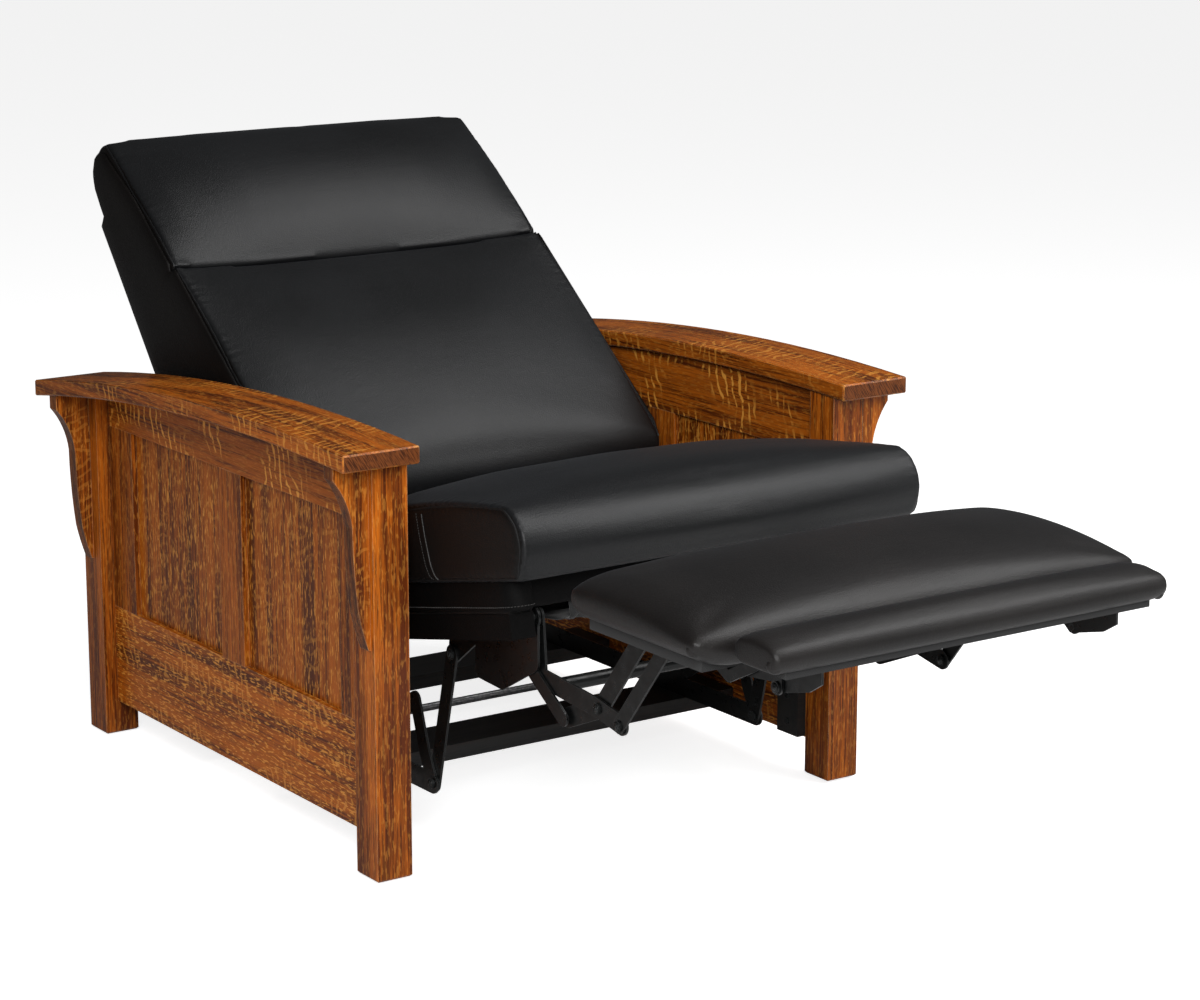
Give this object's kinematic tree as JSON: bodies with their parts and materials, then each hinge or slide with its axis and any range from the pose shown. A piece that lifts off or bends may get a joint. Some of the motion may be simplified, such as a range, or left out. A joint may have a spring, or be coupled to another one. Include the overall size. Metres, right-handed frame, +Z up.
{
  "type": "wall hugger recliner",
  "caption": "Reclining armchair with oak panel sides and bowed arms; its seat slides forward on swing links as the back tips, and a scissor footrest folds out",
  "frame": {"origin": "the centre of the overall box on the floor, with the chair reclined and the footrest out", "axes": "+Z up, the chair faces -Y, and X runs across it from one side frame to the other"},
  "size_m": [0.882, 1.6077, 0.8511],
  "materials": {
    "stained_oak": "satin stain and varnish",
    "black_leather": "soft satin",
    "dark_brown_leather": "soft satin",
    "black_steel": "satin black",
    "zinc_fasteners": "dull zinc",
    "inner_hardwood": "plain sanded",
    "black_block": "flat black stain",
    "webbing_cloth": "woven",
    "glide_plastic": "moulded"
  },
  "bodies": {
    "frame": {"left_front_leg": "stained_oak", "left_rear_leg": "stained_oak", "left_bottom_rail": "stained_oak", "left_top_rail": "stained_oak", "left_stiles": "stained_oak", "left_panels": "stained_oak", "left_arm": "stained_oak", "left_corbels": "stained_oak", "left_base_plate": "black_steel", "right_front_leg": "stained_oak", "right_rear_leg": "stained_oak", "right_bottom_rail": "stained_oak", "right_top_rail": "stained_oak", "right_stiles": "stained_oak", "right_panels": "stained_oak", "right_arm": "stained_oak", "right_corbels": "stained_oak", "right_base_plate": "black_steel", "leg_glides": "glide_plastic", "front_base_rail": "inner_hardwood", "rear_base_rail": "inner_hardwood", "front_blocks": "black_block", "base_fasteners": "zinc_fasteners", "rear_cross_rod": "zinc_fasteners"},
    "front_swing": {"front_swing_links": "black_steel"},
    "rear_swing": {"rear_swing_links": "black_steel"},
    "seat": {"left_seat_plate": "black_steel", "right_seat_plate": "black_steel", "seat_fasteners": "zinc_fasteners", "seat_side_rails": "inner_hardwood", "seat_front_rail": "inner_hardwood", "seat_rear_rail": "inner_hardwood", "seat_webbing": "webbing_cloth", "seat_deck": "webbing_cloth", "seat_band": "dark_brown_leather", "seat_cushion": "black_leather"},
    "back": {"back_side_panels": "dark_brown_leather", "back_top_rail": "inner_hardwood", "back_bottom_rail": "inner_hardwood", "back_stiles": "inner_hardwood", "back_brackets": "black_steel", "outside_back": "dark_brown_leather", "back_foot_panel": "dark_brown_leather", "lumbar_cushion": "black_leather", "head_pillow": "black_leather"},
    "lower_link": {"ottoman_lower_links": "black_steel", "ottoman_tie_tube": "black_steel"},
    "lower_follower": {"lower_follower_links": "black_steel"},
    "upper_link": {"ottoman_upper_links": "black_steel"},
    "upper_follower": {"upper_follower_links": "black_steel"},
    "flipper_link": {"flipper_links": "black_steel"},
    "ottoman": {"ottoman_brackets": "black_steel", "ottoman_board": "inner_hardwood", "ottoman_pad": "black_leather", "ottoman_fasteners": "zinc_fasteners"},
    "flipper": {"flipper_brackets": "black_steel", "flipper_board": "inner_hardwood", "flipper_pad": "black_leather"}
  },
  "joints": [
    {"name": "recline", "type": "hinge", "parent": "frame", "child": "front_swing", "pos_m": [0, -0.044, 0.094], "axis": [-1, 0, 0], "range_deg": [0, 44]},
    {"name": "rear_swing_pivot", "type": "hinge", "parent": "frame", "child": "rear_swing", "pos_m": [0, 0.246, 0.094], "axis": [-1, 0, 0], "range_deg": [0, 44]},
    {"name": "seat_pivot", "type": "hinge", "parent": "front_swing", "child": "seat", "pos_m": [0, -0.089, 0.277], "axis": [1, 0, 0], "range_deg": [0, 44]},
    {"name": "back_pivot", "type": "hinge", "parent": "seat", "child": "back", "pos_m": [0, 0.218, 0.392], "axis": [1, 0, 0], "range_deg": [0, 36]},
    {"name": "footrest", "type": "hinge", "parent": "seat", "child": "lower_link", "pos_m": [0, -0.27, 0.366], "axis": [1, 0, 0], "range_deg": [0, 88]},
    {"name": "lower_follower_pivot", "type": "hinge", "parent": "seat", "child": "lower_follower", "pos_m": [0, -0.199, 0.336], "axis": [1, 0, 0], "range_deg": [0, 88]},
    {"name": "crossing_pivot", "type": "hinge", "parent": "lower_link", "child": "upper_link", "pos_m": [0, -0.4, 0.281], "axis": [1, 0, 0], "range_deg": [-88, 0]},
    {"name": "knee_pivot", "type": "hinge", "parent": "lower_link", "child": "upper_follower", "pos_m": [0, -0.448, 0.272], "axis": [1, 0, 0], "range_deg": [-88, 0]},
    {"name": "ottoman_pivot", "type": "hinge", "parent": "upper_link", "child": "ottoman", "pos_m": [0, -0.487, 0.39], "axis": [1, 0, 0], "range_deg": [0, 88]},
    {"name": "flipper_pivot", "type": "hinge", "parent": "ottoman", "child": "flipper", "pos_m": [0, -0.714, 0.38], "axis": [1, 0, 0], "range_deg": [0, 88]},
    {"name": "flipper_link_pivot", "type": "hinge", "parent": "upper_follower", "child": "flipper_link", "pos_m": [0, -0.5267, 0.36973], "axis": [1, 0, 0], "range_deg": [0, 88]}
  ],
  "couplings": [
    {"joint": "rear_swing_pivot", "follows": "recline", "ratio": 1},
    {"joint": "seat_pivot", "follows": "recline", "ratio": 1},
    {"joint": "back_pivot", "follows": "recline", "ratio": 0.81818},
    {"joint": "lower_follower_pivot", "follows": "footrest", "ratio": 1},
    {"joint": "crossing_pivot", "follows": "footrest", "ratio": -1},
    {"joint": "knee_pivot", "follows": "footrest", "ratio": -1},
    {"joint": "ottoman_pivot", "follows": "footrest", "ratio": 1},
    {"joint": "flipper_pivot", "follows": "footrest", "ratio": 1},
    {"joint": "flipper_link_pivot", "follows": "footrest", "ratio": 1}
  ]
}
